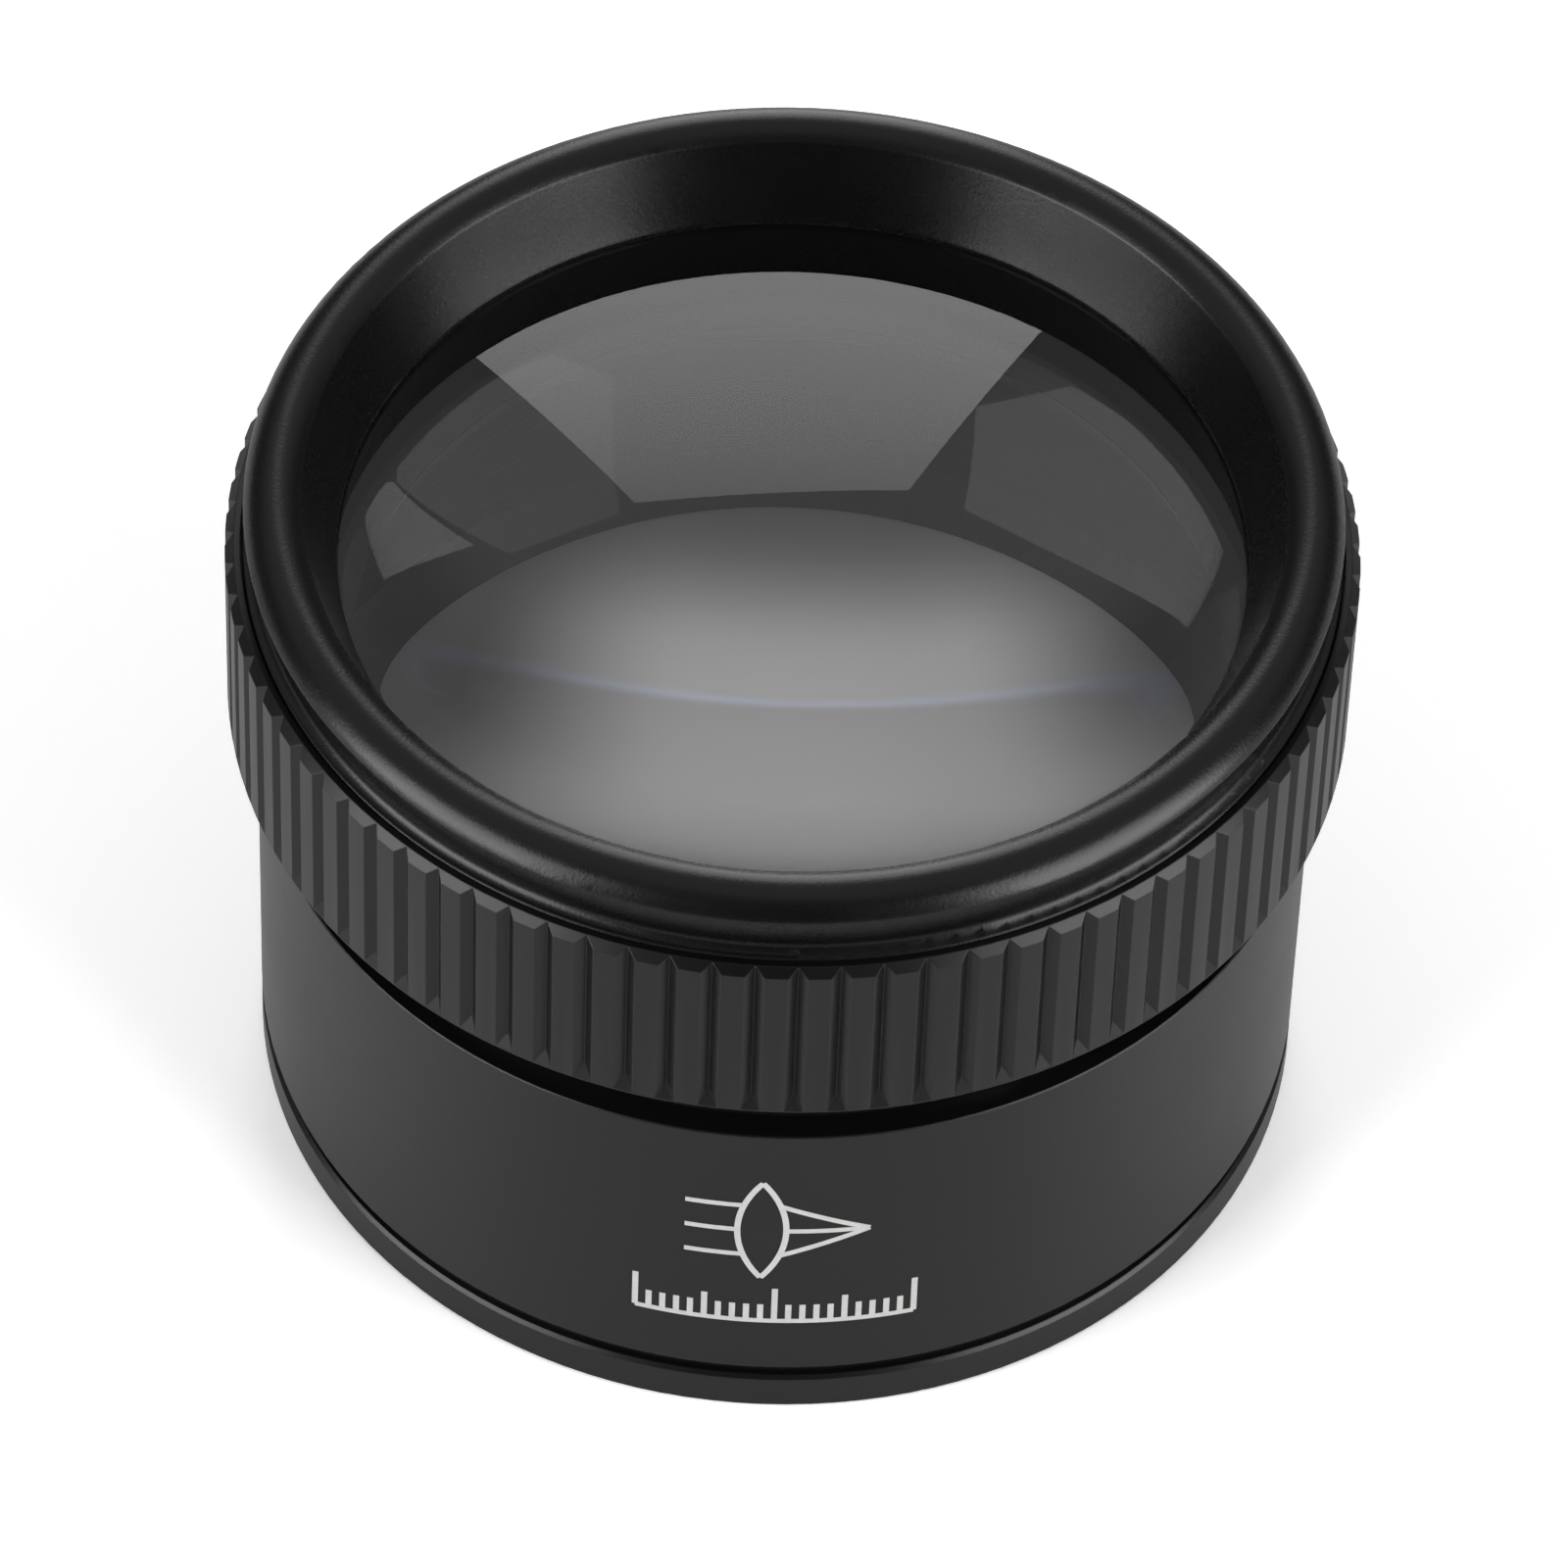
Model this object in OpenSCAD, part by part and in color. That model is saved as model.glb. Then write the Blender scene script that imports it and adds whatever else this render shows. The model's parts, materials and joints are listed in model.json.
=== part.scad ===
// Viewing loupe: a focusing stand magnifier that rests on a print or a strip of film.
// Millimetres, +Z up. The origin is on the optical axis, in the plane that the base rests on.
// The front of the barrel faces -Y. Azimuths are in degrees about +Z, counted from +X.
// Three groups move: the barrel stands still, the lens carriage slides along the axis, and the
// focus ring turns on the carriage and climbs the barrel's neck.

/* [Barrel] */
// Outer diameter of the barrel and of the base ring
barrel_d = 41.7; // [41.6:0.1:41.9]
// Height of the barrel's shoulder, under the neck
shoulder_z = 16.8; // [16.6:0.1:17]
// Height of the base ring's visible band
base_band_h = 1.85; // [1.6:0.05:2]
// Height of the turned groove between the base ring and the barrel
base_groove_h = 0.55; // [0.4:0.05:0.7]
// Depth of that groove
base_groove_depth = 0.35; // [0.2:0.05:0.5]
// Diameter of the opening in the base
base_opening_d = 37.2; // [36.6:0.1:37.6]

/* [Focus ring] */
// Diameter across the ribs
ring_d = 44; // [44:0.1:44.4]
// Height of the ring's lower edge at rest
ring_bottom_z = 19.6; // [19.5:0.1:19.7]
// Height of the ring itself
ring_h = 8.35; // [8.35:0.05:8.4]
// Number of ribs round the ring
rib_count = 84; // [72:1:96]
// Turn of the rib pattern about the axis
rib_phase = 0; // [0:0.1:4]
// Width of the V-shaped groove between two ribs
groove_w = 0.76; // [0.7:0.02:0.8]
// Depth of a groove below the ribs
groove_depth = 0.32; // [0.28:0.01:0.34]
// Width of the plain band under the grooves
plain_band_h = 0.2; // [0.2:0.05:0.6]
// Chamfer along the ribs' upper edge
ring_chamfer = 0.34; // [0.2:0.02:0.4]

/* [Eyepiece] */
// Radius of the rounding of the eyepiece's lip
lip_round = 1.37; // [1.2:0.01:1.4]
// Radius from the axis to the centre of that rounding
lip_centre_r = 20; // [19.9:0.05:20.1]
// Height of the centre of that rounding
lip_centre_z = 29.4; // [29.2:0.05:29.6]
// Radius of the waist under the lip
waist_r = 20.85; // [20.7:0.05:20.9]
// Diameter of the clear bore over the glass
eye_bore_d = 35.4; // [35.2:0.1:35.6]
// Height of the foot of the eyepiece's cone
cone_foot_z = 27.3; // [27.2:0.05:27.6]

/* [Glass] */
// Diameter of the magnifier lens
glass_d = 36; // [35.9:0.1:36]
// Height of its rim, which is its thickness at the edge
lens_rim_h = 9.7; // [9.5:0.1:9.9]
// Radius of curvature of its upper face
upper_curve = 155; // [145:5:180]
// Radius of curvature of its lower face
lower_curve = 52; // [51:1:56]

/* [Hidden] */
$fn = 128;

// Clearances: sliding and turning fits, screwed fits, and a gap that only keeps faces apart
run_gap = 0.05;
thread_gap = 0.02;
face_gap = 0.01;

// Travel of the carriage from rest, and the margin left at each end stop
travel_up = 2;
travel_down = 2.6;
stop_margin = 0.1;

// Radii from the glass outwards
glass_r = glass_d / 2;
cell_bore_r = glass_r + 0.03;
cell_r = 19;
barrel_bore_r = cell_r + run_gap;
foot_bore_r = 19.75;
neck_r = 19.7;
ring_bore_r = 20.05;
ring_r = ring_d / 2;
barrel_r = barrel_d / 2;
eye_bore_r = eye_bore_d / 2;
hub_r = 18.65;
cell_flange_r = 19.75;
flange_r = 21.35;

// Heights of the lens, from the ledge in the eyepiece downwards
ledge_h = 0.23;
lens_room = 0.05;
gasket_h = 0.3;
skirt_h = 0.3;
lens_ledge_z = cone_foot_z - ledge_h;
rim_top_z = lens_ledge_z - lens_room;
rim_bottom_z = rim_top_z - lens_rim_h;
lens_top_z = rim_top_z + sag(upper_curve, glass_r);
lens_bottom_z = lower_face_z(0);
seat_r = 16.65;
gasket_bottom_z = lower_face_z(seat_r) - gasket_h;
retainer_h = 1;
cell_bottom_z = lens_bottom_z - skirt_h;

// Heights of the carriage's other parts
hub_bottom_z = 25.1;
cell_top_z = 26.6;
cell_flange_h = 0.5;
washer_h = 0.25;
flange_bottom_z = 27.55;
flange_top_z = 27.95;

// Guide screws and the slots that they run in
screw_z = 20.2;
screw_head_r = 0.7;
screw_shank_r = 0.45;
screw_head_out_r = 19.75;
slot_w = 2 * (screw_head_r + run_gap);
slot_top_z = screw_z + screw_head_r + travel_up + stop_margin;
neck_top_z = 23.4;

// Barrel, base ring and baffle sleeve
edge_chamfer = 0.25;
fine_chamfer = 0.15;
shoulder_chamfer = 0.05;
base_opening_r = base_opening_d / 2;
spigot_top_z = 3.6;
sleeve_bottom_z = spigot_top_z + thread_gap;
sleeve_top_z = 10.8;
sleeve_wall = 0.5;
baffle_pitch = 0.9;
baffle_depth = 0.8;

// A cutting tool is longer than the part by this much, so that it passes right through
over = 1;

// Depth of a spherical cap of curvature radius curve at a distance r from its axis
function sag(curve, r) = curve - sqrt(curve * curve - r * r);
// Height of the lens's lower face at a distance r from the axis
function lower_face_z(r) = rim_bottom_z - sag(lower_curve, glass_r) + sag(lower_curve, r);

// Ring turned about the axis, from z0 to z1 and from inner radius r0 to outer radius r1
module turned_ring(r0, r1, z0, z1) {
    rotate_extrude()
        translate([r0, z0]) square([r1 - r0, z1 - z0]);
}

// Both guide screws' places, at the two ends of the X axis, with +X pointing outwards
module at_guides() {
    for (azimuth = [0, 180])
        rotate([0, 0, azimuth])
            translate([0, 0, screw_z])
                children();
}

// ---------------------------------------------------------------- carriage

// Outline of the eyepiece bezel, seen in the plane of the radius and the axis
module bezel_outline() {
    outer_edge = 22;
    inner_edge = 135;
    edge_r = lip_centre_r + lip_round * cos(outer_edge);
    edge_z = lip_centre_z + lip_round * sin(outer_edge);
    crest_r = lip_centre_r + lip_round * cos(inner_edge);
    crest_z = lip_centre_z + lip_round * sin(inner_edge);
    sector = 3;
    neck_in = 0.25;
    fillet = 0.42;
    bevel = 0.08;
    fillet_z = flange_top_z + fillet;
    difference() {
        union() {
            polygon([
                [eye_bore_r, lens_ledge_z],
                [cell_bore_r, lens_ledge_z],
                [cell_bore_r, hub_bottom_z],
                [hub_r, hub_bottom_z],
                [hub_r, flange_bottom_z],
                [flange_r, flange_bottom_z],
                [flange_r, flange_top_z - bevel],
                [flange_r - bevel, flange_top_z],
                [waist_r + fillet, flange_top_z],
                [waist_r, fillet_z],
                [waist_r, edge_z - neck_in],
                [edge_r, edge_z],
                [crest_r, crest_z],
                [eye_bore_r, cone_foot_z]
            ]);
            intersection() {
                translate([lip_centre_r, lip_centre_z]) circle(r = lip_round);
                polygon([
                    [lip_centre_r, lip_centre_z],
                    [lip_centre_r + sector * cos(outer_edge), lip_centre_z + sector * sin(outer_edge)],
                    [lip_centre_r, lip_centre_z + sector],
                    [lip_centre_r + sector * cos(inner_edge), lip_centre_z + sector * sin(inner_edge)]
                ]);
            }
            polygon([
                [waist_r - face_gap, flange_top_z - face_gap],
                [waist_r + fillet, flange_top_z - face_gap],
                [waist_r + fillet, flange_top_z],
                [waist_r, fillet_z],
                [waist_r - face_gap, fillet_z]
            ]);
        }
        translate([waist_r + fillet, fillet_z]) circle(r = fillet);
    }
}

// Eyepiece that the eye rests over. Its hub screws into the lens cell and traps the focus ring,
// and a ledge under its cone holds the lens down.
module eyepiece_bezel() {
    color("#2d2d2f")
        rotate_extrude() bezel_outline();
}

// Thick lens that bulges on both faces
module magnifier_lens() {
    color("#c9d6d8")
        intersection() {
            translate([0, 0, lens_bottom_z - over])
                cylinder(r = glass_r, h = lens_top_z - lens_bottom_z + 2 * over);
            translate([0, 0, lens_top_z - upper_curve]) sphere(r = upper_curve);
            translate([0, 0, lens_bottom_z + lower_curve]) sphere(r = lower_curve);
        }
}

// Soft ring that fits the edge of the lens's lower face
module lens_gasket() {
    face_points = 8;
    outer_r = cell_bore_r - face_gap;
    face = [
        for (i = [0 : face_points])
            let (r = seat_r + (glass_r - seat_r) * i / face_points)
                [r, lower_face_z(r) - face_gap]
    ];
    color("#141414")
        rotate_extrude()
            polygon(concat(
                [[outer_r, gasket_bottom_z], [seat_r, gasket_bottom_z]],
                face,
                [[outer_r, rim_bottom_z - face_gap]]
            ));
}

// Threaded ring that presses the lens up against the ledge, with two slots for a pin spanner
module lens_retaining_ring() {
    spanner_slot_w = 1.2;
    spanner_slot_depth = 0.6;
    top_z = gasket_bottom_z - face_gap;
    bottom_z = top_z - retainer_h;
    color("#202021")
        difference() {
            turned_ring(seat_r, cell_bore_r - thread_gap, bottom_z, top_z);
            translate([-cell_r, -spanner_slot_w / 2, bottom_z - over])
                cube([2 * cell_r, spanner_slot_w, over + spanner_slot_depth]);
        }
}

// Tube that carries the lens and slides in the barrel without turning
module lens_cell() {
    flange_z = cell_top_z - cell_flange_h;
    color("#232325")
        difference() {
            rotate_extrude()
                difference() {
                    union() {
                        translate([cell_bore_r, cell_bottom_z])
                            square([cell_r - cell_bore_r, cell_top_z - cell_bottom_z]);
                        translate([cell_bore_r, flange_z])
                            square([cell_flange_r - cell_bore_r, cell_flange_h]);
                    }
                    translate([0, hub_bottom_z])
                        square([hub_r + thread_gap, cell_top_z - hub_bottom_z + over]);
                }
            at_guides()
                rotate([0, 90, 0]) cylinder(r = screw_shank_r + thread_gap, h = cell_r + over);
        }
}

// Thin slippery washer between the cell's flange and the focus ring's web
module slip_washer() {
    color("#b58a3c")
        turned_ring(hub_r + run_gap, cell_flange_r - run_gap, cell_top_z, cell_top_z + washer_h);
}

// Two screws in the cell whose heads run in the neck's slots, so that the cell can't turn
module guide_screws() {
    driver_slot_w = 0.2;
    driver_slot_depth = 0.25;
    color("#8e8f92")
        at_guides()
            difference() {
                union() {
                    translate([cell_bore_r + run_gap, 0, 0])
                        rotate([0, 90, 0]) cylinder(r = screw_shank_r, h = cell_r - cell_bore_r);
                    translate([cell_r + face_gap, 0, 0])
                        rotate([0, 90, 0])
                            cylinder(r = screw_head_r, h = screw_head_out_r - cell_r - face_gap);
                }
                translate([screw_head_out_r - driver_slot_depth, -driver_slot_w / 2, -over])
                    cube([over, driver_slot_w, 2 * over]);
            }
}

// -------------------------------------------------------------- focus ring

// One straight V-shaped groove whose foot runs out to the ring's surface at a slant
module rib_groove() {
    foot_z = ring_bottom_z + plain_band_h;
    foot_slant = 65;
    mouth = groove_w / 2 * (groove_depth + over) / groove_depth;
    intersection() {
        translate([0, 0, foot_z])
            linear_extrude(height = ring_h)
                polygon([[ring_r - groove_depth, 0], [ring_r + over, -mouth], [ring_r + over, mouth]]);
        translate([ring_r, 0, foot_z])
            rotate([0, foot_slant, 0])
                translate([-2 * ring_h, -ring_h, 0]) cube([4 * ring_h, 2 * ring_h, 2 * ring_h]);
    }
}

// Ribbed ring that is turned to focus. Its web turns between the bezel and the slip washer.
module focus_ring() {
    ring_top_z = ring_bottom_z + ring_h;
    web_bottom_z = cell_top_z + washer_h + run_gap;
    web_top_z = flange_bottom_z - run_gap;
    pitch = 360 / rib_count;
    color("#29292b")
        difference() {
            rotate_extrude()
                polygon([
                    [ring_bore_r + edge_chamfer, ring_bottom_z],
                    [ring_r - fine_chamfer, ring_bottom_z],
                    [ring_r, ring_bottom_z + fine_chamfer],
                    [ring_r, ring_top_z - ring_chamfer],
                    [ring_r - ring_chamfer, ring_top_z],
                    [flange_r + run_gap, ring_top_z],
                    [flange_r + run_gap, web_top_z],
                    [hub_r + run_gap, web_top_z],
                    [hub_r + run_gap, web_bottom_z],
                    [ring_bore_r, web_bottom_z],
                    [ring_bore_r, ring_bottom_z + edge_chamfer]
                ]);
            for (i = [0 : rib_count - 1])
                rotate([0, 0, rib_phase - 90 + (i + 0.5) * pitch])
                    rib_groove();
        }
}

// ------------------------------------------------------------------ barrel

// Tube with a shoulder, a neck that the focus ring climbs, two slots for the guide screws, and a
// wider bore at the foot for the base ring
module barrel() {
    wall_z = base_band_h + base_groove_h;
    color("#262628")
        difference() {
            rotate_extrude()
                polygon([
                    [barrel_bore_r, spigot_top_z],
                    [foot_bore_r, spigot_top_z],
                    [foot_bore_r, base_band_h],
                    [barrel_r - base_groove_depth, base_band_h],
                    [barrel_r - base_groove_depth, wall_z],
                    [barrel_r - fine_chamfer, wall_z],
                    [barrel_r, wall_z + fine_chamfer],
                    [barrel_r, shoulder_z - shoulder_chamfer],
                    [barrel_r - shoulder_chamfer, shoulder_z],
                    [neck_r, shoulder_z],
                    [neck_r, neck_top_z - fine_chamfer],
                    [neck_r - fine_chamfer, neck_top_z],
                    [barrel_bore_r, neck_top_z]
                ]);
            for (azimuth = [0, 180])
                rotate([0, 0, azimuth])
                    translate([barrel_bore_r - over, -slot_w / 2, shoulder_z])
                        cube([neck_r - barrel_bore_r + 2 * over, slot_w, slot_top_z - shoulder_z]);
        }
}

// Foot ring that the loupe stands on, screwed into the barrel
module base_ring() {
    spigot_r = foot_bore_r - thread_gap;
    color("#262628")
        rotate_extrude()
            polygon([
                [base_opening_r, 0],
                [barrel_r - fine_chamfer, 0],
                [barrel_r, fine_chamfer],
                [barrel_r, base_band_h - fine_chamfer],
                [barrel_r - fine_chamfer, base_band_h],
                [spigot_r, base_band_h],
                [spigot_r, spigot_top_z - thread_gap],
                [base_opening_r, spigot_top_z - thread_gap]
            ]);
}

// Thin blackened liner whose turned steps stop light from glancing off the barrel's wall
module baffle_sleeve() {
    outer_r = barrel_bore_r - thread_gap;
    step_r = outer_r - sleeve_wall;
    step_count = floor((sleeve_top_z - sleeve_bottom_z) / baffle_pitch);
    step_h = (sleeve_top_z - sleeve_bottom_z) / step_count;
    teeth = [
        for (i = [0 : step_count - 1])
            for (corner = [[step_r, 0], [step_r - baffle_depth, step_h]])
                [corner[0], sleeve_bottom_z + i * step_h + corner[1]]
    ];
    color("#101011")
        rotate_extrude()
            polygon(concat([[outer_r, sleeve_top_z], [outer_r, sleeve_bottom_z]], teeth));
}

eyepiece_bezel();
magnifier_lens();
lens_gasket();
lens_retaining_ring();
lens_cell();
slip_washer();
guide_screws();
focus_ring();
barrel();
base_ring();
baffle_sleeve();
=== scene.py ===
"""Looks of the viewing loupe: glass, anodised metal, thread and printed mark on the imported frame.

Metres, +Z up. The optical axis is the Z axis, and the printed mark faces -Y.
"""

import json
import math

import bmesh
import bpy
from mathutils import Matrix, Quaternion, Vector


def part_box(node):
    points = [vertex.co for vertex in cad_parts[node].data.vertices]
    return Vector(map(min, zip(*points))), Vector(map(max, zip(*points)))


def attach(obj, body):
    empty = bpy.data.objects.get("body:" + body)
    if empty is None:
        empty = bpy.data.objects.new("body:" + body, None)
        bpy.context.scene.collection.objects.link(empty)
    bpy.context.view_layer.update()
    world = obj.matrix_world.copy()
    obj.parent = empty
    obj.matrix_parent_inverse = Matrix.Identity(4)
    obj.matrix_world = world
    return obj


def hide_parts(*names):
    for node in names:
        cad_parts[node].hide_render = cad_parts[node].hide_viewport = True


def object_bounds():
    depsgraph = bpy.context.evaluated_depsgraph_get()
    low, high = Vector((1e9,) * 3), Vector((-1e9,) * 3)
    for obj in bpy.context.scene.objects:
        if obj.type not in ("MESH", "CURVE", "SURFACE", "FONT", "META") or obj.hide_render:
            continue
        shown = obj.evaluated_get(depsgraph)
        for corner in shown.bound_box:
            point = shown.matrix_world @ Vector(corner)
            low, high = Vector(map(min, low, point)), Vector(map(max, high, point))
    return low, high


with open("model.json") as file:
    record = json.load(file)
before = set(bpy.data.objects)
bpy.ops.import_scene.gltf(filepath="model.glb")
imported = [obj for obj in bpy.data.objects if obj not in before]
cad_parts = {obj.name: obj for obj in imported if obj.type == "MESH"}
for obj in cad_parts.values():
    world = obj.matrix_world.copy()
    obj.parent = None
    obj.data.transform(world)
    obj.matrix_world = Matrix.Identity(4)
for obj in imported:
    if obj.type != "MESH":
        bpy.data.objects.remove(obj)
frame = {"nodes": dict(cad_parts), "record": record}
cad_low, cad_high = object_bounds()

MM = 0.001
UM = 0.001 * MM

# Radiance of the studio's parts, and of the ground that the lens gathers light on.
TENT_LOW = 0.12
TENT_HIGH = 0.6
SOFTBOX = 6.4
BACKDROP = 3.0
GATHERED = 5.7

# How far from the origin the softboxes stand, and the panels that only the glass shows.
PANEL_DISTANCE = 0.6

# ------------------------------------------------------------------ shader help


def add(tree, kind, inputs=None, **settings):
    """New shader node of this kind. Each input gets a value, or the output that feeds it."""
    made = tree.nodes.new("ShaderNode" + kind)
    for name, value in settings.items():
        setattr(made, name, value)
    for name, value in (inputs or {}).items():
        socket = made.inputs[name]
        if isinstance(value, bpy.types.NodeSocket):
            tree.links.new(value, socket)
        else:
            socket.default_value = value
    return made


def empty_tree(owner):
    """Node tree of a material or a world, with nothing in it."""
    owner.use_nodes = True
    owner.node_tree.nodes.clear()
    return owner.node_tree


def new_tree(name):
    """New material, its empty node tree, and the place of a surface point in millimetres."""
    material = bpy.data.materials.new(name)
    tree = empty_tree(material)
    metres = add(tree, "TexCoord").outputs["Object"]
    place = add(tree, "VectorMath", {0: metres, "Scale": 1 / MM}, operation="SCALE").outputs[0]
    return material, tree, place


def show(tree, shader):
    """Makes this shader the material's surface."""
    output = add(tree, "OutputMaterial")
    tree.links.new(shader, output.inputs["Surface"])


def noise(tree, place, per_mm, detail=3.0, roughness=0.55):
    """Noise from 0 to 1 with this many bumps to the millimetre."""
    inputs = {"Vector": place, "Scale": per_mm, "Detail": detail, "Roughness": roughness}
    return add(tree, "TexNoise", inputs).outputs["Fac"]


def span(tree, value, start, end, low=0.0, high=1.0, curve="LINEAR"):
    """Low where the value is at start, high where it is at end, and held level beyond both."""
    inputs = {"Value": value, "From Min": start, "From Max": end, "To Min": low, "To Max": high}
    return add(tree, "MapRange", inputs, interpolation_type=curve).outputs["Result"]


def ramp(tree, value, low, high):
    """The value, which runs from 0 to 1, moved to run from low to high."""
    return span(tree, value, 0.0, 1.0, low, high)


def maths(tree, operation, first, second=0.0):
    """Result of a maths operation. Those on one number, such as ABSOLUTE, ignore the second."""
    return add(tree, "Math", {0: first, 1: second}, operation=operation).outputs[0]


def total(tree, *values):
    """Sum of the values."""
    result = values[0]
    for value in values[1:]:
        result = maths(tree, "ADD", result, value)
    return result


def part_of(tree, vector, axis):
    """The vector's part along one axis."""
    return add(tree, "SeparateXYZ", {"Vector": vector}).outputs[axis]


def mix(tree, factor, first, second, blend="MIX"):
    """Colour that goes from first to second as the factor goes from 0 to 1."""
    inputs = {"Factor": factor, "A": first, "B": second}
    return add(tree, "Mix", inputs, data_type="RGBA", blend_type=blend).outputs["Result"]


def grey(level):
    """Opaque grey."""
    return (level, level, level, 1)


def soft_edges(tree, radius_mm):
    """Normal with its sharp edges rounded, and a mask that is 1 on those edges."""
    untouched, on_edge = 1.0, 0.8
    rounded = add(tree, "Bevel", {"Radius": radius_mm * MM}, samples=4).outputs["Normal"]
    plain = add(tree, "NewGeometry").outputs["Normal"]
    both = add(tree, "VectorMath", {0: rounded, 1: plain}, operation="DOT_PRODUCT")
    return rounded, span(tree, both.outputs["Value"], untouched, on_edge)


def bumped(tree, depth_um, height, normal=None, strength=1.0):
    """Normal with this height pattern pressed into it."""
    inputs = {"Strength": strength, "Distance": depth_um * UM, "Height": height}
    if normal is not None:
        inputs["Normal"] = normal
    return add(tree, "Bump", inputs).outputs["Normal"]


# -------------------------------------------------------------------- materials


def anodised(name, grain_um, roughness, edge_mm):
    """Satin black anodised aluminium: blasted grain, slightly uneven dye, and glossier edges lightened with
    a painted highlight.
    """
    dark_dye = (0.0022, 0.0022, 0.0024, 1)
    light_dye = (0.0036, 0.0036, 0.0038, 1)
    # Colour the edges are mixed towards: a painted highlight, lighter than the dye.
    painted_edge_highlight = (0.012, 0.012, 0.0125, 1)
    uneven = 0.03
    material, tree, place = new_tree(name)
    normal, edge = soft_edges(tree, edge_mm)
    grain = noise(tree, place, per_mm=7.0, detail=2.0)
    cloud = noise(tree, place, per_mm=0.22, detail=5.0)
    dye = mix(tree, cloud, dark_dye, light_dye)
    gloss = total(tree,
                  ramp(tree, cloud, roughness - uneven, roughness + uneven),
                  ramp(tree, grain, -uneven, uneven),
                  ramp(tree, edge, 0.0, -2 * uneven))
    surface = add(tree, "BsdfPrincipled", {
        # Base colour: the dye, lightened on the edges by the painted highlight.
        "Base Color": mix(tree, edge, dye, painted_edge_highlight),
        "Roughness": gloss,
        "IOR": 1.42,
        "Normal": bumped(tree, grain_um, grain, normal),
    })
    show(tree, surface.outputs[0])
    return material


def turned(name, tint, metallic, roughness, groove_um):
    """Lathe-turned metal: fine rings round the axis, with cloudy tint and soft edges."""
    darker = tuple(0.75 * channel for channel in tint)
    uneven = 0.05
    material, tree, place = new_tree(name)
    normal, edge = soft_edges(tree, radius_mm=0.05)
    flat = add(tree, "VectorMath", {0: place, 1: (1, 1, 0)}, operation="MULTIPLY").outputs[0]
    radius = add(tree, "VectorMath", {0: flat}, operation="LENGTH").outputs["Value"]
    profile = add(tree, "CombineXYZ", {"X": radius, "Y": part_of(tree, place, "Z")}).outputs[0]
    rings = noise(tree, profile, per_mm=9.0, detail=2.0)
    cloud = noise(tree, place, per_mm=0.4, detail=4.0)
    gloss = total(tree,
                  ramp(tree, cloud, roughness - uneven, roughness + uneven),
                  ramp(tree, rings, -uneven, uneven),
                  ramp(tree, edge, 0.0, -uneven))
    surface = add(tree, "BsdfPrincipled", {
        "Base Color": mix(tree, cloud, darker + (1,), tint + (1,)),
        "Metallic": metallic,
        "Roughness": gloss,
        "IOR": 1.45,
        "Normal": bumped(tree, groove_um, rings, normal),
    })
    show(tree, surface.outputs[0])
    return material


def rubber(name, shine):
    """Matt black rubber or edge paint with a fine pebbled skin. A shine of 0 mirrors nothing."""
    material, tree, place = new_tree(name)
    pebble = noise(tree, place, per_mm=5.0, detail=4.0)
    cloud = noise(tree, place, per_mm=0.5)
    surface = add(tree, "BsdfPrincipled", {
        "Base Color": mix(tree, cloud, grey(0.003), grey(0.006)),
        "Roughness": ramp(tree, pebble, 0.65, 0.85),
        "Specular IOR Level": shine,
        "Normal": bumped(tree, 8.0, pebble),
    })
    show(tree, surface.outputs[0])
    return material


def coated_glass(name, coating):
    """Polished lens glass with a tinted coating and a faint film of wiped dust.

    Lamp rays go straight through, so the ground under the lens is lit evenly.
    """
    material, tree, place = new_tree(name)
    film = noise(tree, place, per_mm=0.35, detail=6.0, roughness=0.7)
    ripple = noise(tree, place, per_mm=0.12, detail=1.0)
    glass = add(tree, "BsdfPrincipled", {
        "Base Color": (0.995, 0.992, 0.99, 1),
        "Roughness": ramp(tree, film, 0.0, 0.012),
        "IOR": 1.517,
        "Specular Tint": coating + (1,),
        "Transmission Weight": 1.0,
        "Normal": bumped(tree, 0.05, ripple),
    })
    path = add(tree, "LightPath")
    lamp_ray = maths(tree, "MAXIMUM", path.outputs["Is Shadow Ray"], path.outputs["Is Diffuse Ray"])
    clear = add(tree, "BsdfTransparent", {"Color": grey(0.9)}).outputs[0]
    surface = add(tree, "MixShader", {0: lamp_ray, 1: glass.outputs[0], 2: clear})
    show(tree, surface.outputs[0])
    return material


def ink(name):
    """Pad-printed off-white ink, slightly uneven where it is thin."""
    thin = (0.46, 0.455, 0.45, 1)
    thick = (0.66, 0.655, 0.645, 1)
    material, tree, place = new_tree(name)
    blotch = noise(tree, place, per_mm=3.0, detail=5.0, roughness=0.7)
    surface = add(tree, "BsdfPrincipled", {
        "Base Color": mix(tree, blotch, thin, thick),
        "Roughness": ramp(tree, blotch, 0.45, 0.65),
        "Normal": bumped(tree, 2.0, blotch),
    })
    show(tree, surface.outputs[0])
    return material


# -------------------------------------------------------------------- mesh help


def new_object(name, mesh, material):
    """Object with this mesh and material, in the scene."""
    made = bpy.data.objects.new(name, mesh)
    bpy.context.scene.collection.objects.link(made)
    mesh.materials.append(material)
    return made


def finish_mesh(bm, name, sharp_deg=None):
    """Mesh made from bm with outward normals. Smooth, with edges above sharp_deg left sharp."""
    bmesh.ops.recalc_face_normals(bm, faces=bm.faces)
    mesh = bpy.data.meshes.new(name)
    bm.to_mesh(mesh)
    bm.free()
    if sharp_deg is not None:
        mesh.polygons.foreach_set("use_smooth", [True] * len(mesh.polygons))
        mesh.set_sharp_from_angle(angle=math.radians(sharp_deg))
    return mesh


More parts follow.
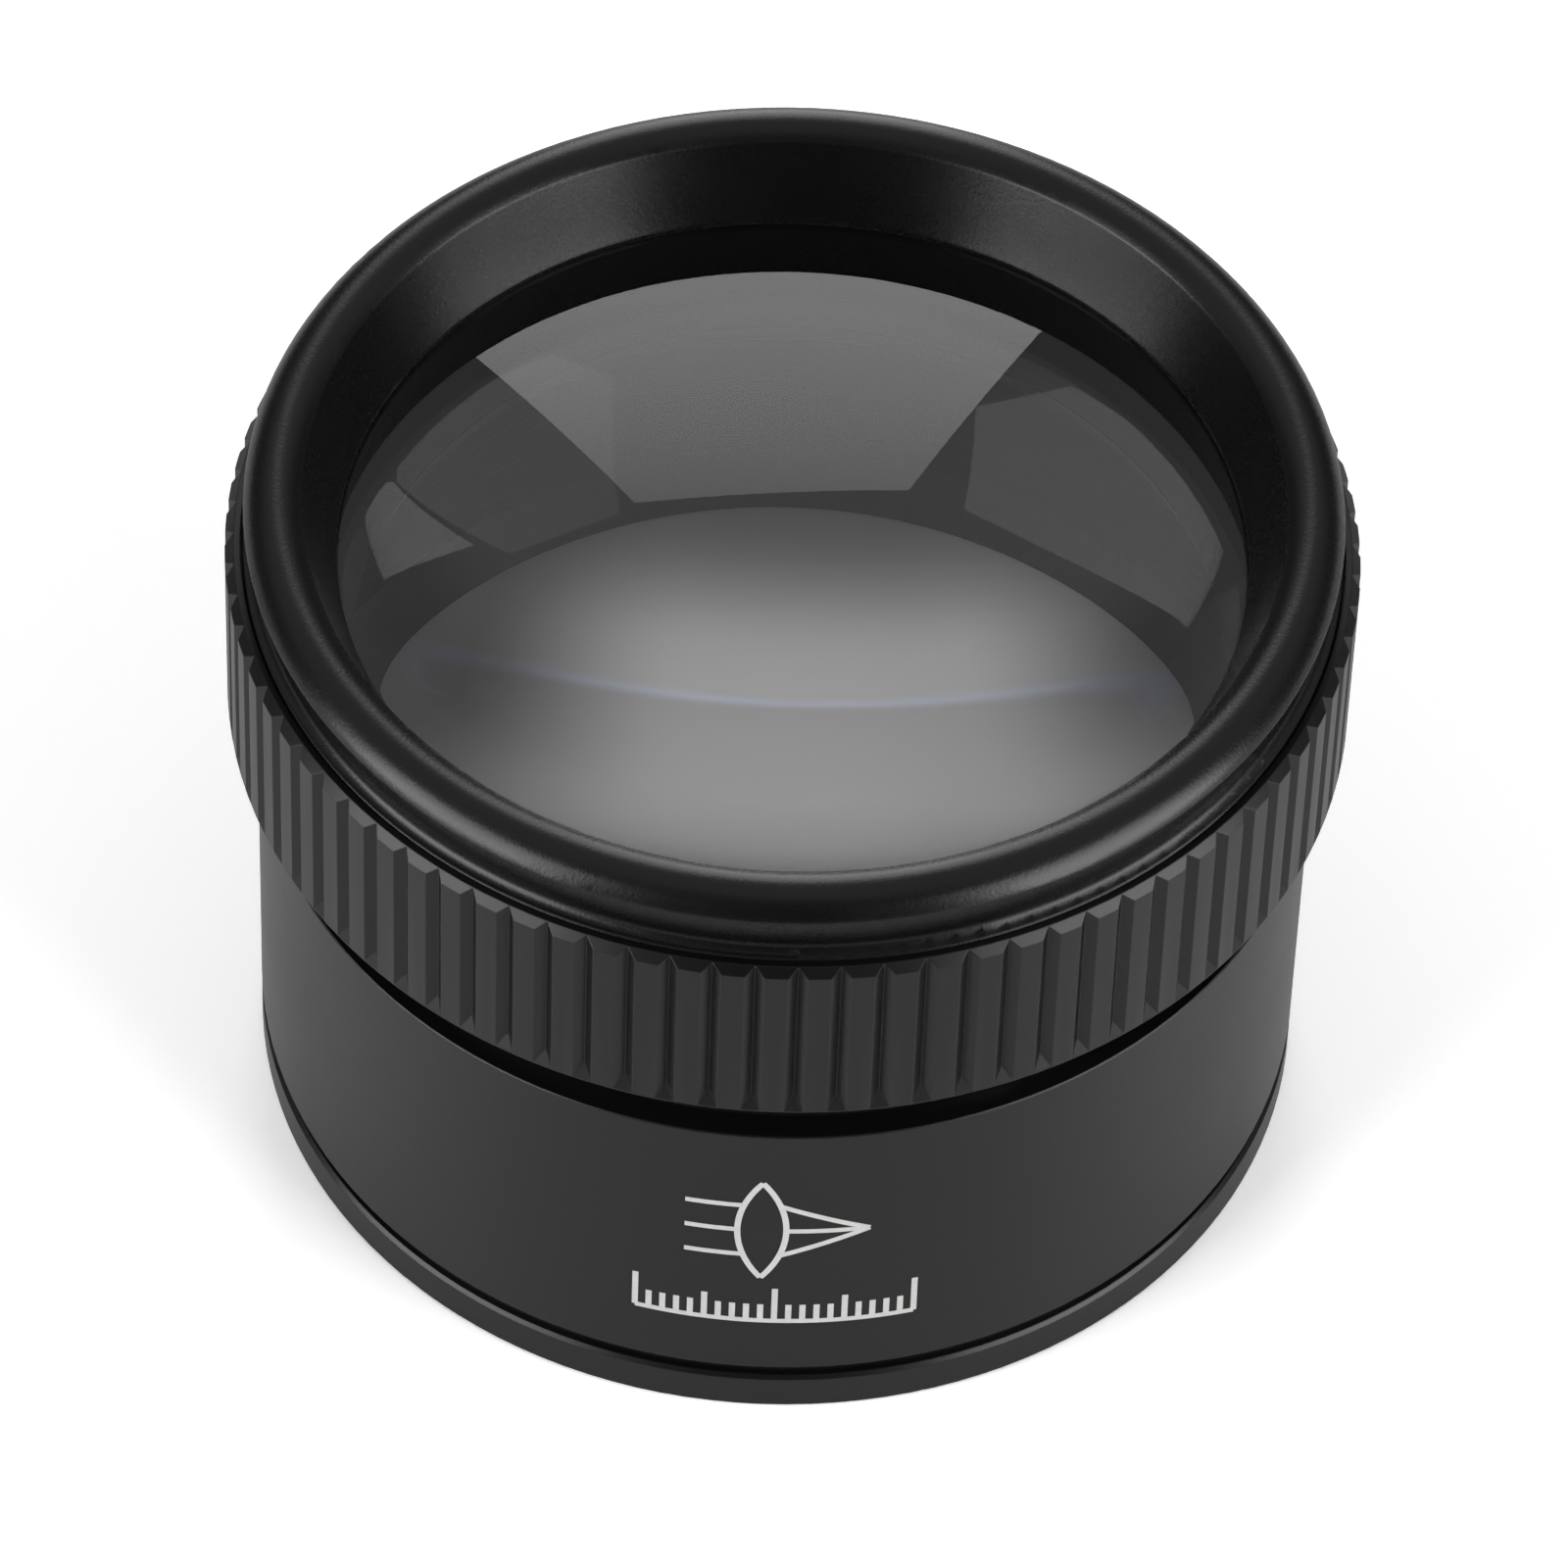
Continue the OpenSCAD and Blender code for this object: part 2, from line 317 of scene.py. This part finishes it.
def spin(outline, segments):
    """bmesh turned about the Z axis from an open outline of (radius, height), both ends on the axis."""
    bm = bmesh.new()
    rings = []
    for radius, height in outline:
        count = segments if radius > 0 else 1
        ring = []
        for i in range(count):
            angle = 2 * math.pi * i / segments
            ring.append(bm.verts.new((radius * math.cos(angle), radius * math.sin(angle), height)))
        rings.append(ring)
    for upper, lower in zip(rings, rings[1:]):
        for i in range(segments):
            j = (i + 1) % segments
            corners = [upper[i % len(upper)], lower[i % len(lower)],
                       lower[j % len(lower)], upper[j % len(upper)]]
            # A ring on the axis is one point, which a triangle names twice.
            bm.faces.new(list(dict.fromkeys(corners)))
    return bm


def sweep(bm, sections):
    """Closed solid in bm through a row of sections, each a list of points in the same order."""
    rows = [[bm.verts.new(point) for point in section] for section in sections]
    for first, second in zip(rows, rows[1:]):
        for i in range(len(first)):
            j = (i + 1) % len(first)
            bm.faces.new([first[i], first[j], second[j], second[i]])
    bm.faces.new(rows[0])
    bm.faces.new(list(reversed(rows[-1])))


def mesh_rings(node):
    """(distance from the axis, height) of each of a CAD node's mesh points."""
    return [(math.hypot(v.co.x, v.co.y), v.co.z) for v in frame["nodes"][node].data.vertices]


# ------------------------------------------------------------------------- lens


def cap(rim_radius, rim_z, apex_z, steps):
    """Points of a spherical cap's outline from its apex out to its rim."""
    depth = apex_z - rim_z
    curve = (rim_radius ** 2 + depth ** 2) / (2 * depth)
    points = []
    for i in range(steps + 1):
        radius = rim_radius * i / steps
        drop = curve - math.copysign(math.sqrt(curve ** 2 - radius ** 2), curve)
        points.append((radius, apex_z - drop))
    return points


def lens(node, glass, edge):
    """Finely meshed lens with the CAD lens's faces and rim.

    The rim and its bevels are ground and blackened.
    """
    steps = 72
    segments = 288
    bevel = 0.12 * MM
    tolerance = 0.01 * MM
    low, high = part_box(node)
    rim_radius = high.x
    inset = rim_radius - bevel
    rim_heights = [z for radius, z in mesh_rings(node) if radius > rim_radius - tolerance / 2]
    upper = cap(rim_radius, max(rim_heights), high.z, steps)
    lower = cap(rim_radius, min(rim_heights), low.z, steps)
    rim = [(rim_radius, upper[-1][1] - bevel), (rim_radius, lower[-1][1] + bevel)]
    upper = [point for point in upper if point[0] < inset] + [(inset, upper[-1][1])]
    lower = [point for point in lower if point[0] < inset] + [(inset, lower[-1][1])]
    name = node + "_glass"
    mesh = finish_mesh(spin(upper + rim + lower[::-1], segments), name, sharp_deg=25)
    piece = new_object(name, mesh, glass)
    mesh.materials.append(edge)
    for face in mesh.polygons:
        if math.hypot(face.center.x, face.center.y) > inset - tolerance:
            face.material_index = 1
    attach(piece, "carriage")
    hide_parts(node)


# ----------------------------------------------------------------------- thread


def neck_size():
    """Radius of the barrel's neck, and the heights of the shoulder under it and of its top."""
    top_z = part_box("barrel")[1].z
    rings = mesh_rings("barrel")
    neck_r = max(radius for radius, z in rings if z > 0.8 * top_z)
    shoulder_z = max(z for radius, z in rings if radius > neck_r + 0.5 * MM)
    return neck_r, shoulder_z, top_z


def thread_section(neck_r, height, angle, z):
    """Corners of the thread's section at an angle and a height up the neck, cut down its length."""
    sink = 0.03 * MM
    foot = 0.42 * MM
    crown = 0.14 * MM
    outline = [(-sink, -foot), (height, -crown), (height, crown), (-sink, foot)]
    return [((neck_r + out) * math.cos(angle), (neck_r + out) * math.sin(angle), z + up)
            for out, up in outline]


def neck_thread(material):
    """Thread on the barrel's neck, which the focus ring climbs, cut through by the guides' slots.

    It runs out to almost nothing at both ends.
    """
    starts = 4
    first_start = 0.3
    thread_h = 0.28 * MM
    end_gap = 0.5 * MM
    runout = math.radians(25)
    runout_least = 0.05
    slot_half_angle = math.radians(2.6)
    lead = 2 * math.pi / frame["record"]["behaviour"]["couplings"][0]["ratio"]
    neck_r, shoulder_z, top_z = neck_size()
    low_z = shoulder_z + end_gap
    turn = 2 * math.pi * (top_z - end_gap - low_z) / lead
    steps = round(turn / math.radians(3))
    bm = bmesh.new()
    for start in range(starts):
        phase = 2 * math.pi * start / starts + first_start
        runs = [[]]
        for i in range(steps + 1):
            along = turn * i / steps
            angle = phase + along
            to_slot = abs((angle + math.pi / 2) % math.pi - math.pi / 2)
            if to_slot < slot_half_angle:
                runs.append([])
                continue
            height = thread_h * min(1.0, min(along, turn - along) / runout + runout_least)
            z = low_z + lead * along / (2 * math.pi)
            runs[-1].append(thread_section(neck_r, height, angle, z))
        for run in runs:
            if len(run) > 1:
                sweep(bm, run)
    piece = new_object("neck_thread", finish_mesh(bm, "neck_thread", sharp_deg=30), material)
    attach(piece, "barrel")


# ----------------------------------------------------------------- printed mark


def on_barrel(x, z, lift, barrel_r, middle):
    """Point on the barrel at arc length x from the mark's middle, z high and lift off the metal."""
    angle = middle + x / barrel_r
    radius = barrel_r + lift
    return (radius * math.cos(angle), radius * math.sin(angle), z)


def stroke(bm, points, width, barrel_r, middle):
    """Thin raised line of ink through points (x, z) on the barrel."""
    skin = 0.002 * MM
    ink_h = 0.02 * MM
    sections = []
    for i, point in enumerate(points):
        before = Vector(points[max(i - 1, 0)])
        after = Vector(points[min(i + 1, len(points) - 1)])
        way = (after - before).normalized()
        side = Vector((-way.y, way.x)) * width / 2
        left = Vector(point) + side
        right = Vector(point) - side
        corners = [(left, skin), (right, skin), (right, ink_h), (left, ink_h)]
        sections.append([on_barrel(spot.x, spot.y, lift, barrel_r, middle) for spot, lift in corners])
    sweep(bm, sections)


def line(start, end, steps=12):
    """Points along a straight line."""
    a = Vector(start)
    b = Vector(end)
    return [tuple(a.lerp(b, i / steps)) for i in range(steps + 1)]


def lens_arcs(x, z, half_w, half_h):
    """Left and right outlines of a lens seen from the side, each a circle's arc."""
    steps = 24
    curve = (half_h ** 2 + half_w ** 2) / (2 * half_w)
    reach = math.asin(half_h / curve)
    arcs = []
    for side in (-1, 1):
        angles = [reach * (2 * i / steps - 1) for i in range(steps + 1)]
        arcs.append([(x + side * (half_w - curve + curve * math.cos(angle)), z + curve * math.sin(angle))
                     for angle in angles])
    return arcs


def printed_mark(material):
    """Plain pictogram of a lens that gathers three rays, over a row of ruler ticks.

    Its places are in millimetres, across from the mark's middle and up from the ground. It has no
    lettering.
    """
    barrel_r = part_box("barrel")[1].x
    middle = math.radians(-88.9)
    line_w = 0.24 * MM
    bm = bmesh.new()

    def draw(points):
        stroke(bm, [(x * MM, z * MM) for x, z in points], line_w, barrel_r, middle)

    lens_x, lens_z = -0.6, 11.1
    lens_half_w, lens_half_h = 0.95, 2.9
    for arc in lens_arcs(lens_x, lens_z, lens_half_w, lens_half_h):
        draw(arc)

    ray_gap = 1.5
    far_x, focus_x = -3.6, 3.6
    outer_half_w = 0.75
    for row in (-1, 0, 1):
        ray_z = lens_z + row * ray_gap
        half_w = outer_half_w if row else lens_half_w
        draw(line((far_x, ray_z), (lens_x - half_w, ray_z)))
        draw(line((lens_x + half_w, ray_z), (focus_x, lens_z)))

    foot_z = 5.5
    tick_gap = 0.55
    half_ticks = 10
    ruler_half_w = half_ticks * tick_gap
    for i in range(-half_ticks, half_ticks + 1):
        tick_h = 2.0 if i % 10 == 0 else 1.5 if i % 5 == 0 else 1.0
        draw(line((i * tick_gap, foot_z), (i * tick_gap, foot_z + tick_h), 4))
    draw(line((-ruler_half_w, foot_z), (ruler_half_w, foot_z), 40))

    piece = new_object("printed_mark", finish_mesh(bm, "printed_mark"), material)
    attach(piece, "barrel")


# ------------------------------------------------------------------------- floor


def gathered_light(tree, place):
    """Colour of the light that the lens throws on the ground under it, as it is seen back through the lens.

    It is bright where the ground is seen at a low angle, and dims to the sides. A curved edge with a
    bluish fringe crosses it, and the ground is a little darker in front of that edge. Places are in
    millimetres. A view's steepness is 1 from straight above and 0 from the ground's own level.
    """
    steep = 0.81
    steep_share = 0.27
    low_angle = 0.735
    pool_x = 0.8
    pool_core = 3.5
    pool_half_w = 9.2
    side_share = 0.14
    edge_centre = (0, 29.75, 0)
    edge_r = 16.85
    edge_blur = 0.15
    front_share = 0.8
    edge_whole = 0.70
    edge_gone = 0.60
    fringe_half_w = 0.12
    fringe_least_steep = 0.66
    fringe_tint = (1.15, 1.2, 1.45, 1)

    steepness = part_of(tree, add(tree, "NewGeometry").outputs["Incoming"], "Z")
    pool = span(tree, steepness, steep, low_angle, steep_share, 1.0, curve="SMOOTHSTEP")
    aside = maths(tree, "ABSOLUTE", maths(tree, "SUBTRACT", part_of(tree, place, "X"), pool_x))
    spread = span(tree, aside, pool_half_w, pool_core, side_share, 1.0, curve="SMOOTHSTEP")

    to_centre = add(tree, "VectorMath", {0: place, 1: edge_centre}, operation="DISTANCE")
    off_edge = maths(tree, "SUBTRACT", to_centre.outputs["Value"], edge_r)
    behind_edge = span(tree, off_edge, edge_blur, -edge_blur, curve="SMOOTHSTEP")
    no_edge = span(tree, steepness, edge_whole, edge_gone)
    lit = maths(tree, "MAXIMUM", behind_edge, no_edge)
    light = ramp(tree, lit, front_share * GATHERED, GATHERED)
    light = maths(tree, "MULTIPLY", maths(tree, "MULTIPLY", light, pool), spread)

    fringe = span(tree, maths(tree, "ABSOLUTE", off_edge), fringe_half_w, 0.0)
    fringe_here = maths(tree, "GREATER_THAN", steepness, fringe_least_steep)
    tint = mix(tree, maths(tree, "MULTIPLY", fringe, fringe_here), grey(1), fringe_tint)
    white_light = add(tree, "CombineColor", {"Red": light, "Green": light, "Blue": light}).outputs[0]
    return mix(tree, 1.0, white_light, tint, blend="MULTIPLY")


def floor():
    """White bench top, a hair under the base, which the camera sees overexposed to white.

    It is clear when seen from below.
    """
    half = 2.0
    gap = 0.02 * MM
    bm = bmesh.new()
    bmesh.ops.create_grid(bm, x_segments=8, y_segments=8, size=half)
    material, tree, place = new_tree("floor_white")
    paper = noise(tree, place, per_mm=0.8, detail=4.0)
    path = add(tree, "LightPath")
    plain = mix(tree, path.outputs["Is Camera Ray"], grey(0.8), grey(1.6))
    colour = mix(tree, path.outputs["Is Transmission Ray"], plain, gathered_light(tree, place))
    bump = bumped(tree, 5.0, paper, strength=0.3)
    surface = add(tree, "BsdfDiffuse", {"Color": colour, "Normal": bump})
    below = add(tree, "NewGeometry").outputs["Backfacing"]
    clear = add(tree, "BsdfTransparent").outputs[0]
    show(tree, add(tree, "MixShader", {0: below, 1: surface.outputs[0], 2: clear}).outputs[0])
    made = new_object("floor", finish_mesh(bm, "floor"), material)
    made.location.z = -gap


# ---------------------------------------------------------------- studio, camera


def emitter(name, corners, radiance, fade=0.0, only_through_glass=False):
    """Glowing panel that the camera can't see. With a fade, its glow halves over that height at its top.

    It either lights the object and shows on its surfaces, or shows only in the glass.
    """
    bm = bmesh.new()
    bm.faces.new([bm.verts.new(corner) for corner in corners])
    mesh = bpy.data.meshes.new(name)
    bm.to_mesh(mesh)
    bm.free()
    material = bpy.data.materials.new(name)
    tree = empty_tree(material)
    top = max(corner[2] for corner in corners)
    top_radiance = radiance / 2 if fade else radiance
    height = part_of(tree, add(tree, "NewGeometry").outputs["Position"], "Z")
    # The millimetre keeps the span open on a panel with no fade.
    glow = span(tree, height, top - fade - MM, top, radiance, top_radiance)
    show(tree, add(tree, "Emission", {"Color": grey(1), "Strength": glow}).outputs[0])
    panel = new_object(name, mesh, material)
    panel.visible_camera = False
    panel.visible_transmission = only_through_glass
    panel.visible_glossy = not only_through_glass
    panel.visible_diffuse = not only_through_glass


def towards(azimuth_deg, elevation_deg, distance):
    """Point in a direction from the origin. Azimuth 0 is straight behind the object, 90 to its right."""
    azimuth = math.radians(azimuth_deg)
    elevation = math.radians(elevation_deg)
    level = math.cos(elevation)
    way = Vector((math.sin(azimuth) * level, math.cos(azimuth) * level, math.sin(elevation)))
    return way * distance


def upright_softbox(name, azimuth_deg):
    """Upright softbox that faces the object from an azimuth."""
    half_width = 0.26
    fade = 0.45
    foot = Vector((0, 0, 0.04))
    top = Vector((0, 0, 0.64))
    middle = towards(azimuth_deg, 0, PANEL_DISTANCE)
    across = Vector((-middle.y, middle.x, 0)).normalized() * half_width
    left = middle - across
    right = middle + across
    emitter(name, [left + foot, right + foot, right + top, left + top], SOFTBOX, fade)


def inner_glow(name, directions, radiance):
    """Panel that only the faces inside the glass mirror, with its corners at (azimuth, elevation)s."""
    corners = [towards(azimuth, elevation, PANEL_DISTANCE) for azimuth, elevation in directions]
    emitter(name, corners, radiance, only_through_glass=True)


def tent():
    """World light: dim low down, bright overhead, dark on the camera's side. The camera sees it white."""
    front_y, side_y = -0.6, 0.0
    front_share = 0.1
    low_z, high_z = 0.35, 0.75
    world = bpy.data.worlds.new("studio")
    bpy.context.scene.world = world
    tree = empty_tree(world)
    way = add(tree, "TexCoord").outputs["Generated"]
    behind = span(tree, part_of(tree, way, "Y"), front_y, side_y, front_share, 1.0, curve="SMOOTHSTEP")
    above = span(tree, part_of(tree, way, "Z"), low_z, high_z, TENT_LOW, TENT_HIGH, curve="SMOOTHSTEP")
    glow = maths(tree, "MULTIPLY", behind, above)
    camera_ray = add(tree, "LightPath").outputs["Is Camera Ray"]
    seen = add(tree, "Mix", {"Factor": camera_ray, "A": glow, "B": 1.0}, data_type="FLOAT")
    background = add(tree, "Background", {"Strength": seen.outputs["Result"]})
    output = add(tree, "OutputWorld")
    tree.links.new(background.outputs[0], output.inputs["Surface"])


def studio():
    """Tent, one bright backdrop, two upright softboxes, and three panels for the inside of the glass."""
    back_y = 0.7
    # Corners of the backdrop, across and up, as shares of its distance.
    outline = [(-0.14, 0.02), (0.12, 0.02), (0.18, 0.63), (0.08, 1.05), (-0.115, 1.085), (-0.275, 0.63)]
    side_azimuth = 119
    tent()
    emitter("backdrop", [(back_y * x, back_y, back_y * z) for x, z in outline], BACKDROP, fade=0.22)
    upright_softbox("softbox_left", -side_azimuth)
    upright_softbox("softbox_right", side_azimuth)
    inner_glow("inner_glow_left", [(-57, 10), (-105, 10), (-105, 66), (-62, 66)], 1.2)
    inner_glow("inner_glow_right", [(57, 46), (76, 28), (110, 28), (110, 64), (57, 64)], 0.82)
    inner_glow("inner_glow_low_right", [(60, 4), (77, 4), (76, 27), (61, 41)], 1.35)


def camera():
    """Camera that looks down at the loupe's front, close enough for the photo's perspective."""
    elevation = math.radians(49.06)
    roll = Quaternion((0, 0, 1), math.radians(2.19))
    reach = 428.3 * MM
    aim_share = 0.436
    target = Vector((0, 0, aim_share * cad_high.z))
    back = Vector((0, -math.cos(elevation), math.sin(elevation)))
    data = bpy.data.cameras.new("camera")
    data.sensor_width = 36
    data.lens = 247.5
    data.clip_start = 0.01
    made = bpy.data.objects.new("camera", data)
    made.location = target + back * reach
    made.rotation_mode = "QUATERNION"
    made.rotation_quaternion = (-back).to_track_quat("-Z", "Y") @ roll
    bpy.context.scene.collection.objects.link(made)
    bpy.context.scene.camera = made


# ------------------------------------------------------------------ put together


def dress(node, material):
    """Gives a CAD node its material."""
    mesh = frame["nodes"][node].data
    mesh.materials.clear()
    mesh.materials.append(material)


black_satin = anodised("black_satin", grain_um=2.5, roughness=0.30, edge_mm=0.07)
black_grained = anodised("black_grained", grain_um=7.0, roughness=0.28, edge_mm=0.15)
blackened = turned("blackened_turned", (0.006, 0.006, 0.0065), metallic=0.0, roughness=0.62, groove_um=4.0)
brass = turned("washer_brass", (0.70, 0.50, 0.22), metallic=1.0, roughness=0.3, groove_um=1.5)
steel = turned("screw_steel", (0.50, 0.50, 0.51), metallic=1.0, roughness=0.32, groove_um=1.5)
NODE_MATERIALS = {
    "eyepiece_bezel": black_grained,
    "lens_gasket": rubber("gasket_rubber", shine=0.2),
    "lens_retaining_ring": blackened,
    "lens_cell": blackened,
    "slip_washer": brass,
    "guide_screws": steel,
    "focus_ring": black_satin,
    "barrel": black_satin,
    "base_ring": black_satin,
    "baffle_sleeve": blackened,
}
for node_name, node_material in NODE_MATERIALS.items():
    dress(node_name, node_material)
lens_glass = coated_glass("coated_glass", coating=(1.0, 0.985, 0.985))
lens("magnifier_lens", lens_glass, rubber("ground_edge_black", shine=0.0))
neck_thread(black_satin)
printed_mark(ink("mark_ink"))
floor()
studio()
camera()
bpy.context.scene.view_settings.view_transform = "Standard"
